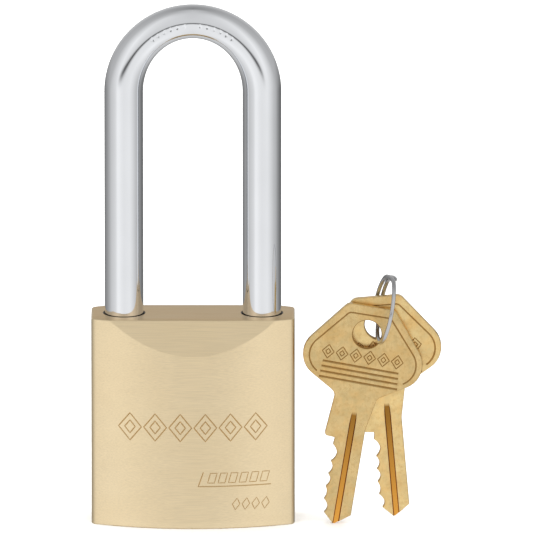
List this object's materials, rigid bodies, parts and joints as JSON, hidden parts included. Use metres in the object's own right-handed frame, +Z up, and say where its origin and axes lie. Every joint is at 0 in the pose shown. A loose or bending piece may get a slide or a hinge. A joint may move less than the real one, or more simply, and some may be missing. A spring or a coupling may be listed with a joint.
{
  "type": "padlock",
  "caption": "Brass padlock with crowned faces, a long round shackle, ball locking, a pin-tumbler cylinder, and its keys on a split ring.",
  "frame": {"origin": "centre of the body's top face, on the solid land between the two shackle legs, where a hasp or chain bears", "axes": "+Z up along the shackle legs, +X toward the toe leg, -Y out of the front crowned face; the base plane is z = -0.053"},
  "size_m": [0.0877, 0.0296, 0.132],
  "materials": {
    "body_brass": "satin, finely brushed along the height",
    "turned_brass": "turned, satin",
    "key_brass": "milled and stamped, satin",
    "shackle_chrome": "polished chrome plate",
    "ball_steel": "polished hard steel",
    "spring_steel": "drawn wire",
    "ring_steel": "nickel-plated flat wire"
  },
  "bodies": {
    "lock_body": {"body": "body_brass", "cylinder_housing": "turned_brass", "shackle_spring": "spring_steel", "chamber_cover": "turned_brass", "plug_clip": "spring_steel", "cylinder_screw": "spring_steel", "ball_channel_plug": "body_brass", "pin_spring_1": "spring_steel", "pin_spring_2": "spring_steel", "pin_spring_3": "spring_steel", "pin_spring_4": "spring_steel", "pin_spring_5": "spring_steel"},
    "shackle": {"shackle": "shackle_chrome"},
    "toe_ball": {"toe_ball": "ball_steel"},
    "heel_ball": {"heel_ball": "ball_steel"},
    "cam": {"cam": "turned_brass"},
    "plug": {"plug": "turned_brass", "key_pin_1": "turned_brass", "key_pin_2": "turned_brass", "key_pin_3": "turned_brass", "key_pin_4": "turned_brass", "key_pin_5": "turned_brass"},
    "driver_pin_1": {"driver_pin_1": "turned_brass"},
    "driver_pin_2": {"driver_pin_2": "turned_brass"},
    "driver_pin_3": {"driver_pin_3": "turned_brass"},
    "driver_pin_4": {"driver_pin_4": "turned_brass"},
    "driver_pin_5": {"driver_pin_5": "turned_brass"},
    "front_key": {"front_key": "key_brass"},
    "rear_key": {"rear_key": "key_brass"},
    "split_ring": {"split_ring": "ring_steel"}
  },
  "joints": [
    {"name": "shackle_lift", "type": "slide", "parent": "lock_body", "child": "shackle", "axis": [0, 0, 1], "range_m": [0, 0.0155], "deforming": ["shackle_spring"]},
    {"name": "plug_turn", "type": "hinge", "parent": "lock_body", "child": "plug", "pos_m": [0, 0, -0.0527], "axis": [0, 0, 1], "range_deg": [-90, 0]},
    {"name": "cam_turn", "type": "hinge", "parent": "lock_body", "child": "cam", "pos_m": [0, 0, -0.0271], "axis": [0, 0, 1], "range_deg": [-90, 0]},
    {"name": "toe_ball_slide", "type": "slide", "parent": "lock_body", "child": "toe_ball", "axis": [1, 0, 0], "range_m": [0, 0.00266]},
    {"name": "heel_ball_slide", "type": "slide", "parent": "lock_body", "child": "heel_ball", "axis": [-1, 0, 0], "range_m": [0, 0.0013]},
    {"name": "driver_pin_1_slide", "type": "slide", "parent": "lock_body", "child": "driver_pin_1", "axis": [1, 0, 0], "range_m": [0, 0.0014], "stiffness_N_per_m": 40, "springref_m": -0.004, "deforming": ["pin_spring_1"]},
    {"name": "driver_pin_2_slide", "type": "slide", "parent": "lock_body", "child": "driver_pin_2", "axis": [1, 0, 0], "range_m": [0, 0.0014], "stiffness_N_per_m": 40, "springref_m": -0.004, "deforming": ["pin_spring_2"]},
    {"name": "driver_pin_3_slide", "type": "slide", "parent": "lock_body", "child": "driver_pin_3", "axis": [1, 0, 0], "range_m": [0, 0.0014], "stiffness_N_per_m": 40, "springref_m": -0.004, "deforming": ["pin_spring_3"]},
    {"name": "driver_pin_4_slide", "type": "slide", "parent": "lock_body", "child": "driver_pin_4", "axis": [1, 0, 0], "range_m": [0, 0.0014], "stiffness_N_per_m": 40, "springref_m": -0.004, "deforming": ["pin_spring_4"]},
    {"name": "driver_pin_5_slide", "type": "slide", "parent": "lock_body", "child": "driver_pin_5", "axis": [1, 0, 0], "range_m": [0, 0.0014], "stiffness_N_per_m": 40, "springref_m": -0.004, "deforming": ["pin_spring_5"]},
    {"name": "key_set_lift", "type": "slide", "parent": "lock_body", "child": "front_key", "axis": [0, 0, 1], "range_m": [0, 0.06]},
    {"name": "ring_turn", "type": "hinge", "parent": "front_key", "child": "split_ring", "pos_m": [0.0482, -0.0089, 0.00284], "axis": [0.969, 0.1414, -0.2024], "continuous": true},
    {"name": "rear_key_swing", "type": "hinge", "parent": "front_key", "child": "rear_key", "pos_m": [0.04539, -0.0032, -0.0025], "axis": [0, 1, 0], "range_deg": [-20, 15]}
  ],
  "couplings": [
    {"joint": "cam_turn", "follows": "plug_turn", "ratio": 1},
    {"joint": "toe_ball_slide", "follows": "plug_turn", "m_per_rad": -0.0016934},
    {"joint": "heel_ball_slide", "follows": "plug_turn", "m_per_rad": -0.00082761}
  ]
}
